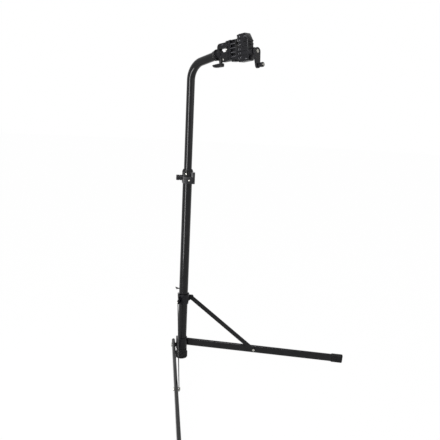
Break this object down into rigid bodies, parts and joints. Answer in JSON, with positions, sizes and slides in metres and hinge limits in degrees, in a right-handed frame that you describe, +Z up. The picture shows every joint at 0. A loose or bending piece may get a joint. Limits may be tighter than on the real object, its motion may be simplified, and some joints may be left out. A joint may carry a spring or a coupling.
{
  "type": "portable bike work stand",
  "caption": "Folding bike work stand: a telescoping mast on a rubber foot and folding braced legs, with a bent arm that carries a turning clamp head closed by a crank.",
  "frame": {"origin": "centre of the sole of the mast's rubber foot, on the floor", "axes": "+Z up along the mast; the arm and head point along -Y, and the legs lie 40 degrees to either side of -Y, the right leg towards +X"},
  "size_m": [0.9866, 0.5784, 1.3231],
  "materials": {
    "mast_enamel": "satin",
    "arm_enamel": "gloss",
    "die_cast": "satin",
    "head_nylon": "satin",
    "black_nylon": "satin",
    "zinc": "zinc plated",
    "rubber": "matte"
  },
  "bodies": {
    "base": {"mast_foot": "rubber", "lower_mast": "mast_enamel", "mast_bushing": "black_nylon", "leg_bracket": "black_nylon", "stop_screw": "die_cast", "mast_clamp": "black_nylon", "clamp_bolt": "zinc", "leg_pivot_bolt_right": "zinc", "leg_washer_right": "black_nylon", "leg_pivot_bolt_left": "zinc", "leg_washer_left": "black_nylon"},
    "right_leg": {"leg_tube_right": "mast_enamel", "leg_plug_right": "black_nylon", "leg_foot_right": "rubber", "brace_bolt_right": "zinc", "brace_spacer_right": "zinc", "brace_nut_right": "zinc"},
    "left_leg": {"leg_tube_left": "mast_enamel", "leg_plug_left": "black_nylon", "leg_foot_left": "rubber", "brace_bolt_left": "zinc", "brace_spacer_left": "zinc", "brace_nut_left": "zinc"},
    "right_brace": {"brace_right": "mast_enamel", "brace_rivet_right": "zinc"},
    "left_brace": {"brace_left": "mast_enamel", "brace_rivet_left": "zinc"},
    "collar": {"slide_collar": "head_nylon", "collar_lever_pin": "zinc"},
    "cam_lever": {"collar_lever": "black_nylon"},
    "quick_lever": {"clamp_lever": "die_cast", "clamp_lever_pin": "zinc"},
    "tension_nut": {"clamp_nut": "black_nylon"},
    "glide": {"mast_glide": "black_nylon"},
    "upper_stand": {"upper_mast": "arm_enamel", "arm_bushing": "die_cast", "arm_bolt": "zinc"},
    "head": {"head_spindle": "zinc", "head_yoke": "black_nylon", "yoke_pin": "die_cast", "jaw_bolt_right": "zinc", "jaw_bolt_left": "zinc", "fixed_jaw": "head_nylon", "fixed_jaw_pad": "rubber", "screw_nut": "zinc"},
    "head_lock": {"head_lock_lever": "black_nylon"},
    "jaw": {"moving_jaw": "head_nylon", "moving_jaw_pad": "rubber", "guide_rod": "zinc"},
    "crank": {"lead_screw": "zinc", "screw_collar": "zinc", "crank_arm": "die_cast", "crank_bolt": "zinc", "crank_knob_screw": "zinc"},
    "knob": {"crank_knob": "black_nylon"}
  },
  "joints": [
    {"name": "collar_slide", "type": "slide", "parent": "base", "child": "collar", "axis": [0, 0, 1], "range_m": [0, 0.46955]},
    {"name": "leg_fold_right", "type": "hinge", "parent": "base", "child": "right_leg", "pos_m": [0.02758, 0.02314, 0.055], "axis": [-0.766, -0.6428, 0], "range_deg": [0, 87.91]},
    {"name": "leg_fold_left", "type": "hinge", "parent": "base", "child": "left_leg", "pos_m": [-0.02758, 0.02314, 0.055], "axis": [-0.766, 0.6428, 0], "range_deg": [0, 87.91]},
    {"name": "brace_swing_right", "type": "hinge", "parent": "right_leg", "child": "right_brace", "pos_m": [0.22329, -0.22722, 0.03883], "axis": [0.766, 0.6428, 0], "range_deg": [0, 140.04]},
    {"name": "brace_swing_left", "type": "hinge", "parent": "left_leg", "child": "left_brace", "pos_m": [-0.22329, -0.22722, 0.03883], "axis": [0.766, -0.6428, 0], "range_deg": [0, 140.04]},
    {"name": "cam_lever_turn", "type": "hinge", "parent": "collar", "child": "cam_lever", "pos_m": [0.00841, 0.02932, 0.2693], "axis": [0.9613, -0.2756, 0], "range_deg": [0, 100]},
    {"name": "mast_slide", "type": "slide", "parent": "base", "child": "glide", "axis": [0, 0, 1], "range_m": [-0.33, 0.15]},
    {"name": "mast_swivel", "type": "hinge", "parent": "glide", "child": "upper_stand", "pos_m": [0, 0, 0.53], "axis": [0, 0, 1], "continuous": true},
    {"name": "quick_lever_turn", "type": "hinge", "parent": "base", "child": "quick_lever", "pos_m": [-0.00379, -0.03494, 0.795], "axis": [0, 0, 1], "range_deg": [0, 120]},
    {"name": "tension_nut_turn", "type": "hinge", "parent": "base", "child": "tension_nut", "pos_m": [-0.03144, -0.00631, 0.795], "axis": [0.6947, -0.7193, 0], "range_deg": [-180, 180]},
    {"name": "head_turn", "type": "hinge", "parent": "upper_stand", "child": "head", "pos_m": [0, -0.1342, 1.25852], "axis": [0, -0.9781, 0.2079], "continuous": true},
    {"name": "head_lock_turn", "type": "hinge", "parent": "head", "child": "head_lock", "pos_m": [0.00131, -0.15144, 1.24503], "axis": [-0.0872, 0.0868, 0.9924], "range_deg": [0, 360]},
    {"name": "jaw_slide", "type": "slide", "parent": "head", "child": "jaw", "axis": [0, -0.9962, 0.0872], "range_m": [0, 0.05]},
    {"name": "crank_turn", "type": "hinge", "parent": "jaw", "child": "crank", "pos_m": [0.00122, -0.30477, 1.25945], "axis": [0, -0.9962, 0.0872], "range_deg": [0, 2250]},
    {"name": "knob_spin", "type": "hinge", "parent": "crank", "child": "knob", "pos_m": [0.00527, -0.32664, 1.21486], "axis": [0, -0.9962, 0.0872], "continuous": true}
  ],
  "couplings": [
    {"joint": "leg_fold_right", "follows": "collar_slide", "rad_per_m": 3.2678},
    {"joint": "leg_fold_left", "follows": "collar_slide", "rad_per_m": 3.2678},
    {"joint": "brace_swing_right", "follows": "collar_slide", "rad_per_m": 5.2052},
    {"joint": "brace_swing_left", "follows": "collar_slide", "rad_per_m": 5.2052},
    {"joint": "jaw_slide", "follows": "crank_turn", "m_per_rad": 0.0012732}
  ]
}
